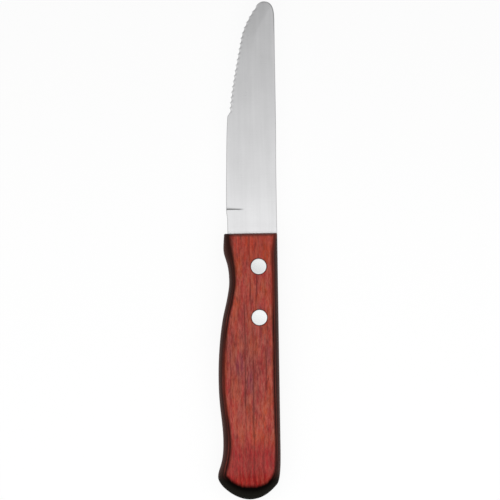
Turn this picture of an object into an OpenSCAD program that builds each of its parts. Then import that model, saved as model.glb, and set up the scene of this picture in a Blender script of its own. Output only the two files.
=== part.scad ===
// Steak knife: a stamped blade with a half tang, two wooden handle scales and two
// two-part rivets. Millimetres. The knife lies on the flat face of its far scale:
// +Y points to the tip, +X to the spine, +Z away from what it lies on.
// The origin is under the middle of the knife's bounding box.

/* [Overall] */
// Length of blade that shows in front of the handle
blade_len = 116.4; // [105:0.2:130]
// Length of the handle
handle_len = 133.5; // [125:0.5:150]
// Thickness of the handle, both scales together
handle_t = 16; // [14:0.2:20]

/* [Blade] */
// Width of the blade where it enters the handle
heel_w = 25.5; // [24.5:0.1:26]
// Thickness of the steel
blade_t = 1.5; // [1.2:0.1:2.4]
// Length of the unground flat between the handle and the grind
flat_len = 11.6; // [8:0.2:20]
// How far the ground edge stands out past the edge of the flat
heel_step = 0.45; // [0.1:0.05:1]
// Length over which the edge steps out
heel_ramp = 5; // [2:0.2:7]
// Width of the hollow grind at the flat
grind_w = 9.4; // [7:0.2:11]
// Width of the unground face halfway along the teeth
face_w = 13; // [11:0.2:15]
// Distance of that place behind the tip
face_back = 38; // [32:0.5:44]
// Thickness left at the cutting edge
edge_t = 0.4; // [0.3:0.05:0.8]
// Width of the blade where the plain edge ends
plain_w = 24.3; // [23:0.1:25.5]
// Width of the blade where the tip starts to round off
shoulder_w = 16.9; // [15:0.1:18]
// Distance of that place behind the tip
shoulder_back = 19; // [17:0.1:22]
// Distance of the foremost point of the tip from the spine
tip_w = 5.3; // [4:0.1:6]
// Length of the round that joins the spine to the tip
tip_round = 9.9; // [7:0.1:14]

/* [Serration] */
// Length of the toothed edge
teeth_len = 53.6; // [40:0.2:58]
// Distance between teeth
tooth_pitch = 2.68; // [2:0.02:4]
// Depth of the hollow between two teeth
tooth_depth = 0.35; // [0.2:0.05:0.6]
// How far the line of teeth is set back from the plain edge
teeth_set = 1.3; // [0.8:0.1:1.8]
// Length of the ramp between the plain edge and the teeth
teeth_ramp = 1.6; // [1:0.1:3]
// Distance from the last tooth to the front of the blade
teeth_back = 2.4; // [2.2:0.1:6]
// Width of the flute ground at each hollow
flute_w = 1.6; // [1:0.1:2.4]

/* [Tang] */
// Length of the tang inside the handle
tang_len = 58; // [54:0.5:70]
// Width of the tang
tang_w = 19; // [15:0.5:21]
// Radius of the tang's rear corners
tang_r = 7; // [3:0.5:7.5]

/* [Handle outline] */
// How far the handle sits back from the blade's spine
spine_step = 0.2; // [0:0.05:0.5]
// Width of the handle at its front end
front_w = 26.75; // [26.2:0.05:28]
// Radius of the front corners
front_r = 0.7; // [0.4:0.05:1.5]
// Width at the finger guard
guard_w = 27.15; // [26.5:0.05:29]
// Distance of the guard's crest behind the front
guard_y = 7.5; // [5:0.1:9]
// Width at the waist behind the guard
waist_w = 24.5; // [23:0.05:26]
// Distance of the waist behind the front
waist_y = 23.9; // [20:0.1:27]
// Width at the belly of the grip
belly_w = 30.6; // [29:0.05:32]
// Distance of the belly behind the front
belly_y = 73; // [66:0.5:80]
// Width at the waist before the butt
tail_w = 28.7; // [27:0.05:30]
// Distance of that waist ahead of the butt
tail_back = 29; // [26:0.5:33]
// Width at the flare of the butt
flare_w = 31.6; // [30:0.05:33]
// Distance of the flare ahead of the butt
flare_back = 11.4; // [10:0.1:13]
// Distance of the butt's lowest point from the spine
butt_w = 15.7; // [14:0.1:18]

/* [Handle rounding] */
// Height of the rounding on the sides
round_h = 6; // [4:0.2:6.4]
// Width of the rounding at the front end
front_round = 0.9; // [0.5:0.1:1.5]
// Width of the rounding at the guard
guard_round = 4.5; // [3:0.1:5.5]
// Width of the rounding along the belly side
belly_round = 3.2; // [2:0.1:4.5]
// Width of the rounding along the spine side
spine_round = 3.1; // [2:0.1:4.5]
// Width of that rounding near the butt
tail_round = 2.7; // [2:0.1:4.5]
// Width of the rounding at the flare
flare_round = 4; // [3:0.1:5]
// Width of the rounding at the butt
butt_round = 6; // [4:0.1:7]

/* [Rivets] */
// Diameter of a rivet's head
head_d = 7.9; // [6.5:0.1:9]
// Thickness of a rivet's head
head_t = 1.4; // [1:0.1:2]
// Bevel round the rim of a head
head_bevel = 0.25; // [0.1:0.05:0.5]
// Depth of a head below the face of the handle
head_sink = 0.05; // [0.02:0.01:0.3]
// Outer diameter of the sleeve
sleeve_d = 4.8; // [4:0.1:5.6]
// Diameter of the post
post_d = 3; // [2:0.1:3.4]
// Distance of the rivets from the spine
rivet_w = 9.8; // [8.5:0.1:11]
// Distance of the front rivet behind the front of the handle
rivet_y = 16.6; // [12:0.2:19]
// Distance between the two rivets
rivet_gap = 25.6; // [20:0.2:29]

/* [Fits] */
// Gap between a rivet's head and its counterbore
ring_gap = 0.15; // [0.05:0.01:0.3]
// Gap between a sleeve and its hole in the wood
hole_gap = 0.1; // [0.05:0.01:0.2]
// Gap between a sleeve and its hole in the tang
tang_hole_gap = 0.2; // [0.05:0.01:0.3]
// Gap between a post and its sleeve
post_gap = 0.02; // [0.01:0.01:0.05]
// Gap between the tang and the wood round it
tang_gap = 0.04; // [0.02:0.01:0.1]
// Length of the gaps at the end of a sleeve and at the end of a post
end_gap = 0.4; // [0.2:0.05:0.8]

/* [Hidden] */

steel_colour = "#c4c6c8";
wood_colour = "#8f4034";
rivet_colour = "#dfe4e6";

$fn = 64;
curve_steps = 8;     // points on each stretch of the handle's outline
round_steps = 5;     // rows of points over the handle's rounding
round_turn = 66;     // degrees that the rounding turns before it meets the flat face
round_steep = 2;     // height of a narrow rounding for each millimetre of its width
line_steps = 24;     // points on each stretch of the blade's curves
tooth_steps = 6;     // cuts across the blade for each tooth
quarter = 0.55;      // pull, as a share of the radius, that makes a quarter circle
over = 1;            // how far a cutter runs past what it cuts

mid_z = handle_t / 2;
tail_y = handle_len - tail_back;
flare_y = handle_len - flare_back;
front_rivet = [-rivet_w, -rivet_y];
rear_rivet = [-rivet_w, -rivet_y - rivet_gap];
centre = [(max(flare_w, belly_w) + spine_step) / 2, (handle_len - blade_len) / 2, 0];

// ---- Curves -------------------------------------------------------------------
// A knot is [x, y, heading in, heading out, pull in, pull out].
function ray(a) = [cos(a), sin(a)];
function spot(k) = [k[0], k[1]];
function cubic(p, q, t) =
    let (a = spot(p), d = spot(q), b = a + p[5] * ray(p[3]), c = d - q[4] * ray(q[2]))
    pow(1 - t, 3) * a + 3 * pow(1 - t, 2) * t * b + 3 * (1 - t) * t * t * c + pow(t, 3) * d;
function trace(knots, n) = concat(
    [for (i = [0:len(knots) - 2], j = [0:n - 1]) cubic(knots[i], knots[i + 1], j / n)],
    [spot(knots[len(knots) - 1])]);
function mix(a, b, t) = a + (b - a) * t;

// ---- Blade --------------------------------------------------------------------
edge_w = heel_w + heel_step;
teeth_to = blade_len - teeth_back;
teeth_from = teeth_to - teeth_len;
teeth_n = round(teeth_len / tooth_pitch);
pitch = teeth_len / teeth_n;
plain_to = teeth_from - teeth_ramp;

tip_shoulder = [3.6, 2.6];   // where the tip's round meets the toothed edge, from its top
face_tip = [4, 7];           // where the unground face ends, from the spine and the tip
face_heading = 56;           // heading of the grind's limit there

// The edge as ground, before the teeth are cut.
ground_knots = [
    [-edge_w, flat_len, 90, 90, 0, 15],
    [-plain_w, plain_to, 86, 86, 15, 13],
    [-shoulder_w, blade_len - shoulder_back, 80, 80, 10, 5],
    [-tip_w - tip_shoulder[0], blade_len - tip_shoulder[1], 50, 50, 5.6, 1],
    [-tip_w, blade_len, 0, 0, 2, 0]];
// The edge with its teeth, less their hollows.
edge_knots = [
    ground_knots[0],
    [-plain_w, plain_to, 86, 0, 15, 0],
    [-plain_w + teeth_set, teeth_from, 0, 86, 0, 13],
    ground_knots[2], ground_knots[3], ground_knots[4]];
// The inner limit of the hollow grind.
grind_knots = [
    [-edge_w + grind_w, flat_len, 90, 90, 0, 15],
    [-face_w, blade_len - face_back, 77, 77, 15.5, 15.5],
    [-face_tip[0], blade_len - face_tip[1], face_heading, face_heading, 16, 0],
    [face_tip[0], blade_len - face_tip[1] + 2 * face_tip[0] * tan(face_heading),
     face_heading, face_heading, 0, 0]];
// The spine, straight and then round to the tip.
spine_knots = [
    [0, flat_len, 90, 90, 0, 0],
    [0, blade_len - tip_round, 90, 90, 0, 0.52 * tip_round],
    [-tip_w, blade_len, 180, 180, 0.92 * tip_w, 0]];
// A curve as a table from y to x.
function table(knots) = [for (p = trace(knots, line_steps)) [p[1], p[0]]];
ground_line = table(ground_knots);
grind_line = table(grind_knots);
edge_line = table(edge_knots);
spine_line = table(spine_knots);

// Share of a tooth's hollow that is reached at y: 0 on a point, 1 midway.
function hollow(y) =
    y <= teeth_from || y >= teeth_to ? 0
    : let (u = (y - teeth_from) / pitch, f = u - floor(u)) 4 * f * (1 - f);
// Half the blade's thickness at x, where the grind runs from x = from to x = to.
function half_t(x, from, to) =
    edge_t / 2 + (blade_t - edge_t) / 2 * pow(max(0, min(1, (x - from) / (to - from))), 2);
// Cuts across the blade, from the flat to the tip.
tip_end = 0.03;      // how far back the last cut takes its width from
flute_share = 0.7;   // share of the edge's thickness that a flute takes
flute_reach = 0.3;   // most of the grind's width that a flute takes
full_share = 0.96;   // most of the blade's width that the columns over the grind take
tip_cuts = 9;        // cuts in front of the last tooth
plain_cuts = 8;      // cuts along the plain edge
cuts = concat(
    [for (i = [0:plain_cuts]) mix(flat_len, plain_to, i / plain_cuts)],
    [for (i = [0:teeth_n * tooth_steps - 1]) teeth_from + i * pitch / tooth_steps],
    [for (i = [0:tip_cuts]) mix(teeth_to, blade_len, sin(90 * i / tip_cuts))]);
// Places of the columns of points across the grind, as shares of its width.
columns = [0.4, 0.6, 0.8, 1];
function cross_points(y, side) =
    let (at = min(y, blade_len - tip_end),
         e = lookup(at, edge_line) + tooth_depth * hollow(at),
         from = min(lookup(at, ground_line), e),
         to = lookup(at, grind_line),
         w = lookup(at, spine_line) - e,
         reach = min(to - e, full_share * w),
         flute = side > 0 ? flute_share * edge_t * hollow(at) : 0,
         steps = concat([0, min(flute_w, flute_reach * reach)], reach * columns, [w]))
    [for (i = [0:len(steps) - 1])
        [e + steps[i], y, mid_z + side * half_t(e + steps[i], from, to) - (i == 0 ? flute : 0)]];

module ground_blade() {
    k = len(columns) + 3;
    n = len(cuts);
    points = concat(
        [for (y = cuts) each cross_points(y, 1)],
        [for (y = cuts) each cross_points(y, -1)]);
    far = n * k;
    near_faces = [for (i = [0:n - 2], j = [0:k - 2])
        let (a = i * k + j, b = a + 1, c = a + k, d = c + 1) each [[a, c, d], [a, d, b]]];
    far_faces = [for (i = [0:n - 2], j = [0:k - 2])
        let (a = far + i * k + j, b = a + 1, c = a + k, d = c + 1) each [[a, d, c], [a, b, d]]];
    edge_faces = [for (i = [0:n - 2])
        let (a = i * k, b = a + k, c = far + a, d = c + k) each [[a, c, d], [a, d, b]]];
    spine_faces = [for (i = [0:n - 2])
        let (a = i * k + k - 1, b = a + k, c = far + a, d = c + k) each [[a, d, c], [a, b, d]]];
    start_cap = [for (j = [0:k - 2])
        let (a = j, b = j + 1, c = far + j, d = c + 1) each [[a, b, d], [a, d, c]]];
    end_cap = [for (j = [0:k - 2])
        let (a = (n - 1) * k + j, b = a + 1, c = far + a, d = c + 1) each [[a, d, b], [a, c, d]]];
    polyhedron(points, concat(near_faces, far_faces, edge_faces, spine_faces, start_cap, end_cap));
}

// The tang's outline, grown all round by a gap, and longer at the front by ahead.
module tang_outline(gap, ahead, past_spine) {
    w = tang_w + gap;
    translate([-spine_step - w, -tang_len + tang_r])
        square([w + past_spine, tang_len - tang_r + ahead]);
    translate([-spine_step - tang_w + tang_r, -tang_len - gap])
        square([tang_w - tang_r + past_spine, tang_r + 2 * gap]);
    translate([-spine_step - tang_w + tang_r, -tang_len + tang_r])
        circle(tang_r + gap);
}

module blade() {
    color(steel_colour) translate(centre) {
        translate([0, 0, mid_z - blade_t / 2])
            linear_extrude(blade_t)
                difference() {
                    union() {
                        polygon([
                            [0, tang_gap], [0, flat_len], [-edge_w, flat_len],
                            [-edge_w, flat_len - heel_step],
                            [-heel_w, flat_len - heel_step - heel_ramp], [-heel_w, tang_gap]]);
                        tang_outline(0, tang_gap, 0);
                    }
                    for (p = [front_rivet, rear_rivet])
                        translate(p)
                            circle(d = sleeve_d + 2 * tang_hole_gap);
                }
        ground_blade();
    }
}

// ---- Handle -------------------------------------------------------------------
slope_y = waist_y + 15.3;    // where the side slopes most between waist and belly
slope_share = 0.447;         // share of the widening that is reached there
corner_in = [2.2, 7.2];      // the butt's corner, from the spine side and from its end
corner_heading = 226.5;      // heading of the outline at that corner

// Each side of the outline runs from the front to the butt. Both sides have as many
// knots, so that their points pair up. inset is 0 on the rim and 1 on the flat face.
function belly_side(inset) =
    let (x = -spine_step,
         g = inset * guard_round, b = inset * belly_round, f = inset * front_round,
         r = inset * flare_round, e = inset * butt_round,
         turn_in = mix(0, -12, inset), turn_out = mix(0, 33, inset))
    [[x - front_w + front_r + g, -f, 180, 180, 0, quarter * front_r],
     [x - front_w + g, -f - front_r, 270, 266, quarter * front_r, 2],
     [x - guard_w + g, -guard_y, 270, 270, 2, 5],
     [x - waist_w + b, -waist_y, 270, 270, 10.3, 4.1],
     [x - mix(waist_w, belly_w, slope_share) + b, -slope_y, 255.8, 255.8, 4.1, 8],
     [x - belly_w + b, -belly_y, 270, 270, 12, 16],
     [x - tail_w + r, -tail_y, 270, 270, 11, mix(12, 7, inset)],
     [x - flare_w + r, -flare_y + 0.25 * r, 270 + turn_in, 270 + turn_out, 4.4, mix(4.2, 2, inset)],
     [x - butt_w, -handle_len + e, 0, 0, 7.3, 0]];
function spine_side(inset) =
    let (x = -spine_step - inset * spine_round, t = -spine_step - inset * tail_round,
         f = inset * front_round, c = inset * flare_round * sin(45), e = inset * butt_round)
    [[x - front_r, -f, 0, 0, 0, quarter * front_r],
     [x, -f - front_r, 270, 270, quarter * front_r, 0],
     [x, -guard_y, 270, 270, 0, 0],
     [x, -waist_y, 270, 270, 0, 0],
     [x, -slope_y, 270, 270, 0, 0],
     [x, -belly_y, 270, 270, 0, 6],
     [t, -tail_y, 270, 270, 6, 9],
     [-spine_step - corner_in[0] - c, -handle_len + corner_in[1] + c,
      corner_heading, corner_heading, 3.4, 2.4],
     [-spine_step - butt_w, -handle_len + e, 180, 180, 7.5, 0]];
// The whole outline, down the belly side and back up the spine side.
function outline(inset) =
    let (a = trace(belly_side(inset), curve_steps), b = trace(spine_side(inset), curve_steps))
    concat(a, [for (i = [len(b) - 2:-1:0]) b[i]]);

rim = outline(0);
face = outline(1);
side_n = (len(rim) + 1) / 2;

// One scale, from the parting plane up to its flat face.
module scale_body() {
    n = len(rim);
    drops = [for (i = [0:n - 1]) min(round_h, round_steep * norm(rim[i] - face[i]))];
    rows = concat(
        [[for (p = rim) [p[0], p[1], mid_z]]],
        [for (k = [0:round_steps])
            let (a = round_turn * k / round_steps,
                 in = (1 - cos(a)) / (1 - cos(round_turn)),
                 up = sin(a) / sin(round_turn))
            [for (i = [0:n - 1])
                let (p = mix(rim[i], face[i], in))
                [p[0], p[1], handle_t - drops[i] * (1 - up)]]]);
    top = (len(rows) - 1) * n;
    sides = [for (k = [0:len(rows) - 2], i = [0:n - 1])
        let (a = k * n + i, b = k * n + (i + 1) % n, c = a + n, d = b + n)
        each [[a, d, b], [a, c, d]]];
    // A ladder of rungs from side to side; the last rung is the butt's own point.
    ladder = [for (i = [0:side_n - 3])
        let (a = i, b = i + 1, c = n - 1 - i, d = n - 2 - i) each [[a, b, d], [a, d, c]]];
    tail = [side_n - 2, side_n - 1, side_n];
    lid = [for (f = concat(ladder, [tail])) [for (v = f) top + v]];
    floor_faces = [for (f = concat(ladder, [tail])) [f[0], f[2], f[1]]];
    polyhedron([for (r = rows) each r], concat(sides, lid, floor_faces));
}

module near_scale_solid() {
    difference() {
        scale_body();
        translate([0, 0, mid_z - over])
            linear_extrude(over + blade_t / 2 + tang_gap)
                tang_outline(tang_gap, over, over);
        for (p = [front_rivet, rear_rivet]) translate(p) {
            translate([0, 0, mid_z - over])
                cylinder(d = sleeve_d + 2 * hole_gap, h = handle_t);
            translate([0, 0, handle_t - head_sink - head_t])
                cylinder(d = head_d + 2 * ring_gap, h = head_t + over);
        }
    }
}

module near_scale() {
    color(wood_colour) translate(centre)
        near_scale_solid();
}

module far_scale() {
    color(wood_colour) translate(centre + [0, 0, handle_t])
        mirror([0, 0, 1])
            near_scale_solid();
}

// ---- Rivets -------------------------------------------------------------------
// A head on the near face with a post that runs down into the sleeve.
module rivet_post(p) {
    top = handle_t - head_sink;
    color(rivet_colour) translate(centre) translate(p)
        rotate_extrude()
            polygon([
                [0, head_sink + head_t + end_gap], [post_d / 2, head_sink + head_t + end_gap],
                [post_d / 2, top - head_t], [head_d / 2, top - head_t],
                [head_d / 2, top - head_bevel], [head_d / 2 - head_bevel, top], [0, top]]);
}

// A head on the far face with a sleeve that runs up round the post.
module rivet_sleeve(p) {
    bore = post_d / 2 + post_gap;
    rim_z = handle_t - head_sink - head_t - end_gap;
    color(rivet_colour) translate(centre) translate(p)
        rotate_extrude()
            polygon([
                [0, head_sink], [head_d / 2 - head_bevel, head_sink],
                [head_d / 2, head_sink + head_bevel], [head_d / 2, head_sink + head_t],
                [sleeve_d / 2, head_sink + head_t], [sleeve_d / 2, rim_z],
                [bore, rim_z], [bore, head_sink + head_t], [0, head_sink + head_t]]);
}

module front_rivet_post() { rivet_post(front_rivet); }
module front_rivet_sleeve() { rivet_sleeve(front_rivet); }
module rear_rivet_post() { rivet_post(rear_rivet); }
module rear_rivet_sleeve() { rivet_sleeve(rear_rivet); }

blade();
near_scale();
far_scale();
front_rivet_post();
front_rivet_sleeve();
rear_rivet_post();
rear_rivet_sleeve();
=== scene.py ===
"""A steak knife with a ground steel blade, two wooden handle scales and two two-part rivets.

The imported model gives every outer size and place; this file gives the surfaces. Shapes are
worked out in millimetres from the knife's own corner, where the spine meets the front of the
handle: +Y to the tip, +X past the spine, +Z up from what the knife lies on.
"""

import bisect
import math
from functools import reduce
from types import SimpleNamespace

import bpy
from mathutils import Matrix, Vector


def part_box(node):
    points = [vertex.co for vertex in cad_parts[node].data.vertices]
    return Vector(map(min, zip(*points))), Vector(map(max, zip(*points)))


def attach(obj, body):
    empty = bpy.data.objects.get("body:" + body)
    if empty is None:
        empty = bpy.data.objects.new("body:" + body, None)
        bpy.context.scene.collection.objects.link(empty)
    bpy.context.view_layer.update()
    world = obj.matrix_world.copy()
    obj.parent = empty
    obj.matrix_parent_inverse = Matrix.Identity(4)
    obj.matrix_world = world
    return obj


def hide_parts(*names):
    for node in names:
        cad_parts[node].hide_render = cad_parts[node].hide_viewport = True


bl_info = {
    "name": "Steak Knife",
    "version": (1, 0, 0),
    "blender": (4, 5, 0),
    "location": "3D View > Sidebar > Steak Knife",
    "description": "Builds a riveted steak knife with a part-serrated blade",
    "category": "Add Mesh",
}

MM = 0.001

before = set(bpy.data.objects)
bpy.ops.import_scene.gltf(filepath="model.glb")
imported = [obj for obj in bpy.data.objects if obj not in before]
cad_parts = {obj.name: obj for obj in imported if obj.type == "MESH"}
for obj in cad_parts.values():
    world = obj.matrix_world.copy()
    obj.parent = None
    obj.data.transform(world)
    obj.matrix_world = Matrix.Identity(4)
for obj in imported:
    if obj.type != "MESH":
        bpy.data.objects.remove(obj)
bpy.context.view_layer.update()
BLADE_LOW, BLADE_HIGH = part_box("blade")
NEAR_LOW, NEAR_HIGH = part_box("near_scale")
FAR_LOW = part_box("far_scale")[0]
HEAD_LOW, HEAD_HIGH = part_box("front_rivet_post")

SPINE_X = BLADE_HIGH.x
FRONT_Y = NEAR_HIGH.y
BLADE_LEN = (BLADE_HIGH.y - FRONT_Y) / MM
TANG_LEN = (FRONT_Y - BLADE_LOW.y) / MM
BLADE_T = (BLADE_HIGH.z - BLADE_LOW.z) / MM
HANDLE_LEN = (FRONT_Y - NEAR_LOW.y) / MM
HANDLE_T = (NEAR_HIGH.z - FAR_LOW.z) / MM
SPINE_STEP = (SPINE_X - NEAR_HIGH.x) / MM
MID_Z = HANDLE_T / 2
HEAD_D = (HEAD_HIGH.x - HEAD_LOW.x) / MM
HEAD_TOP = (HEAD_HIGH.z - FAR_LOW.z) / MM


# ---- Sizes and colours --------------------------------------------------------------
def length(name, description, millimetres):
    """A length property, given in millimetres and held in metres."""
    return bpy.props.FloatProperty(
        name=name,
        description=description,
        default=millimetres * MM,
        min=0.0,
        precision=5,
        unit="LENGTH",
        subtype="DISTANCE",
    )


def share(name, description, default):
    """A property from 0 to 1."""
    return bpy.props.FloatProperty(
        name=name, description=description, default=default, min=0.0, max=1.0, subtype="FACTOR"
    )


def linear(value):
    """The linear value of one 8-bit screen value."""
    value /= 255
    return value / 12.92 if value <= 0.04045 else ((value + 0.055) / 1.055) ** 2.4


def colour(name, description, red, green, blue):
    """A colour property, given as 8-bit screen values."""
    return bpy.props.FloatVectorProperty(
        name=name,
        description=description,
        default=[linear(value) for value in (red, green, blue)],
        size=3,
        min=0.0,
        max=1.0,
        subtype="COLOR",
    )


class BladeSettings(bpy.types.PropertyGroup):
    heel_w: length("Heel width", "Width of the blade at the handle", 25.5)
    heel_step: length("Heel step", "How far the ground edge stands out past the flat", 0.45)
    heel_ramp: length("Heel ramp", "Length over which the edge steps out", 5)
    flat_len: length("Flat", "Length of the unground flat at the handle", 11.95)
    edge_trim: length("Edge trim", "How much the plain edge is ground back in finishing", 0.36)
    spine_trim: length("Spine trim", "How much the spine is ground back in finishing", 0.26)
    trim_from: length("Trim start", "Where that grinding starts to run out", 30)
    trim_run: length("Trim run-out", "Length over which it runs out", 26)
    plunge: length("Plunge", "Length over which the grind sinks to its depth", 2.4)
    grind_w: length("Grind width", "Width of the hollow grind at the flat", 9.4)
    face_w: length("Face width", "Width of the unground face halfway along the teeth", 13)
    face_back: length("Face place", "Distance of that place behind the tip", 38)
    edge_t: length("Edge thickness", "Thickness of the hollow grind at the edge", 0.4)
    bevel_w: length("Edge bevel", "Width of the sharpened bevel", 0.25)
    keen_t: length("Keen edge", "Thickness left by the sharpened bevel", 0.08)
    spine_bevel: length("Spine bevel", "Width of the bevels along the spine", 0.25)
    tip_bevel: length("Tip bevel", "Width of the bevels round the tip", 0.5)
    plain_w: length("Plain width", "Width of the blade where the plain edge ends", 24.3)
    shoulder_w: length("Shoulder width", "Width where the tip starts to round off", 16.9)
    shoulder_back: length("Shoulder place", "Distance of that place behind the tip", 19)
    tip_w: length("Tip", "Distance of the foremost point from the spine", 5.3)
    tip_round: length("Tip round", "Length of the round from the spine to the tip", 9.9)
    teeth_len: length("Toothed edge", "Length of the toothed edge", 53.6)
    tooth_pitch: length("Tooth pitch", "Distance between teeth", 2.68)
    tooth_depth: length("Tooth depth", "Depth of the hollow between two teeth", 0.68)
    teeth_set: length("Tooth setback", "How far the teeth are set back from the edge", 1.3)
    teeth_ramp: length("Tooth ramp", "Length of the ramp down to the teeth", 1.6)
    teeth_back: length("Tooth end", "Distance from the last tooth to the tip", 2.4)
    teeth_out: length("Tooth stand-out", "How far the teeth's points stand out", 0.39)
    flute_w: length("Flute width", "Width of the flute ground at each hollow", 1.3)
    flute_h: length("Flute depth", "Depth of the flute at the edge", 0.14)
    tang_w: length("Tang width", "Width of the tang inside the handle", 19)
    tang_r: length("Tang radius", "Radius of the tang's rear corner", 7)
    tang_bore: length("Tang bore", "Diameter of the rivet holes in the tang", 5.2)
    steel: colour("Steel", "Colour of the blade", 222, 222, 223)
    roughness: share("Satin", "How far the steel spreads reflections", 0.3)


class HandleSettings(bpy.types.PropertyGroup):
    front_w: length("Front width", "Width of the handle at its front end", 26.75)
    front_r: length("Front radius", "Radius of the front corners", 0.7)
    guard_w: length("Guard width", "Width at the finger guard", 27.15)
    guard_y: length("Guard place", "Distance of the guard behind the front", 7.5)
    waist_w: length("Waist width", "Width at the waist behind the guard", 24.5)
    waist_y: length("Waist place", "Distance of the waist behind the front", 23.9)
    belly_w: length("Belly width", "Width at the belly of the grip", 30.6)
    belly_y: length("Belly place", "Distance of the belly behind the front", 73)
    tail_w: length("Tail width", "Width at the waist before the butt", 28.7)
    tail_back: length("Tail place", "Distance of that waist ahead of the butt", 29)
    flare_w: length("Flare width", "Width at the flare of the butt", 31.6)
    flare_back: length("Flare place", "Distance of the flare ahead of the butt", 11.4)
    butt_w: length("Butt place", "Distance of the butt's end from the spine", 15.7)
    round_h: length("Rounding height", "Height of the rounding on the sides", 6)
    front_round: length("Front rounding", "Width of the rounding at the front end", 0.9)
    guard_round: length("Guard rounding", "Width of the rounding at the guard", 4.5)
    belly_round: length("Belly rounding", "Width of the rounding along the belly", 3.2)
    spine_round: length("Spine rounding", "Width of the rounding along the spine", 3.1)
    tail_round: length("Tail rounding", "Width of that rounding near the butt", 2.7)
    flare_round: length("Flare rounding", "Width of the rounding at the flare", 4)
    butt_round: length("Butt rounding", "Width of the rounding at the butt", 6)
    arris: length("Arris radius", "Radius of the edge round the flat face", 0.6)
    seam: length("Seam", "Bevel along the joint between the scales", 0.12)
    pocket_gap: length("Pocket gap", "Gap between the tang and the wood", 0.04)
    sleeve_hole: length("Sleeve hole", "Diameter of the hole for a rivet's sleeve", 5)
    ring_gap: length("Ring gap", "Gap between a rivet's head and the wood", 0.1)
    face_red: colour("Face", "Reddish wood of the flat face", 164, 44, 38)
    face_brown: colour("Face, brown", "Browner wood of the flat face", 171, 64, 30)
    face_front: colour("Face, front", "Warmer wood at the front end", 172, 46, 20)
    plum: colour("Plum", "Purplish wood of a few patches at the grip", 126, 38, 58)
    heart: colour("Heart", "Purple-brown wood of the darker figure", 120, 46, 48)
    fleck: colour("Fleck", "Pale flecks in the wood", 202, 118, 100)
    red_end: colour("Red end", "Deeper red wood towards the butt", 147, 20, 26)
    streak: colour("Streak", "Long dark streaks in the grain", 92, 26, 20)
    # The side and butt colours are partly a real dark stain and partly painted shade, where the
    # rounded sides and the butt turn away from the light.
    side: colour("Side", "Stain on the rounded sides, towards the rim", 76, 46, 40)
    side_deep_stain_and_shade: colour("Side, deep", "The stain where it is darkest", 48, 18, 13)
    side_red: colour("Side, red", "Thin stain where the wood shows through", 108, 38, 27)
    # Partly wear and partly a painted highlight along the rounding.
    side_worn_and_highlight: colour("Side, worn", "The stain where it has worn lighter", 110, 52, 44)
    butt: colour("Butt", "The stain on the end grain of the butt", 8, 5, 4)
    butt_rim_stain_and_shade: colour("Butt rim", "The same stain towards the rim", 27, 25, 21)


class RivetSettings(bpy.types.PropertyGroup):
    head_t: length("Head thickness", "Thickness of a rivet's head", 1.4)
    rim: length("Rim", "Width of the rounded rim of a head", 0.25)
    crown: length("Crown", "Height of a head's middle above its rim", 0.04)
    post_d: length("Post", "Diameter of the post", 3)
    sleeve_d: length("Sleeve", "Outer diameter of the sleeve", 4.8)
    bore_d: length("Bore", "Diameter of the sleeve's bore", 3.04)
    metal: colour("Metal", "Colour of the rivets", 221, 223, 223)
    roughness: share("Polish", "How far the metal spreads reflections", 0.22)


class StageSettings(bpy.types.PropertyGroup):
    camera_height: length("Camera height", "Height of the camera above the blade", 3000)
    view_w: length("View width", "Width of what the camera sees at the blade", 251.1)
    view_x: length("View centre, across", "Place of the picture's middle across", 1.907)
    view_y: length("View centre, along", "Place of the picture's middle along", 0.22)
    roll: bpy.props.FloatProperty(
        name="Roll",
        description="Turn of the camera about its own axis",
        default=math.radians(-0.9),
        subtype="ANGLE",
        unit="ROTATION",
    )
    floor_r: length("Floor radius", "Radius of the floor", 6000)
    zenith: share("Overhead", "Brightness of the studio straight above", 0.46)
    horizon: share("Horizon", "Brightness of the studio at the level of the knife", 0.15)
    horizon_shine: share("Horizon in metal", "The same as polished metal shows it", 0.8)
    softbox: share("Softboxes", "Brightness of the lamps overhead, taken together", 0.79)
    lamp_height: length("Lamp height", "Height of the softboxes over the floor", 200)
    fade_from: length("Fade start", "How far behind the middle the light starts to fade", 25)
    fade_to: length("Fade end", "How far ahead of the middle the light has faded out", 160)


# ---- Curves -------------------------------------------------------------------------
# A knot is (x, y, heading in, heading out, pull in, pull out), in millimetres and degrees.
def in_millimetres(settings):
    """The lengths of a group of settings, as plain numbers in millimetres."""
    fields = settings.bl_rna.properties
    names = [p.identifier for p in fields if p.type == "FLOAT" and p.subtype == "DISTANCE"]
    return SimpleNamespace(**{n: getattr(settings, n) / MM for n in names})


def mix(a, b, t):
    return a + (b - a) * t


def clamp(value, low=0.0, high=1.0):
    return max(low, min(high, value))


def smooth(value):
    """0 to 1 with an easy start and end."""
    value = clamp(value)
    return value * value * (3 - 2 * value)


def ray(heading):
    """The cosine and the sine of a heading."""
    return math.cos(math.radians(heading)), math.sin(math.radians(heading))


def cubic(start, end, t):
    """A point on the stretch between two knots."""
    a, d = Vector(start[:2]), Vector(end[:2])
    b = a + start[5] * Vector(ray(start[3]))
    c = d - end[4] * Vector(ray(end[2]))
    s = 1 - t
    return s**3 * a + 3 * s * s * t * b + 3 * s * t * t * c + t**3 * d


def trace(knots, count):
    """Points along a chain of knots, so many from each knot to the next."""
    points = [cubic(p, q, i / count) for p, q in zip(knots, knots[1:]) for i in range(count)]
    return points + [Vector(knots[-1][:2])]


class Line:
    """A curve that only climbs in y, read as x at a given y."""

    STEPS = 60

    def __init__(self, knots):
        self.xs, self.ys = zip(*trace(knots, self.STEPS))

    def x(self, y):
        i = clamp(bisect.bisect_right(self.ys, y), 1, len(self.ys) - 1)
        low, high = self.ys[i - 1], self.ys[i]
        return mix(self.xs[i - 1], self.xs[i], clamp((y - low) / max(high - low, 1e-9)))


def at(x, y, z):
    """The place in the frame of a point given in millimetres from the knife's own corner."""
    return Vector((SPINE_X + x * MM, FRONT_Y + y * MM, FAR_LOW.z + z * MM))


# ---- Modelling helpers --------------------------------------------------------------
ROUND_SIDES = 96
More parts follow.
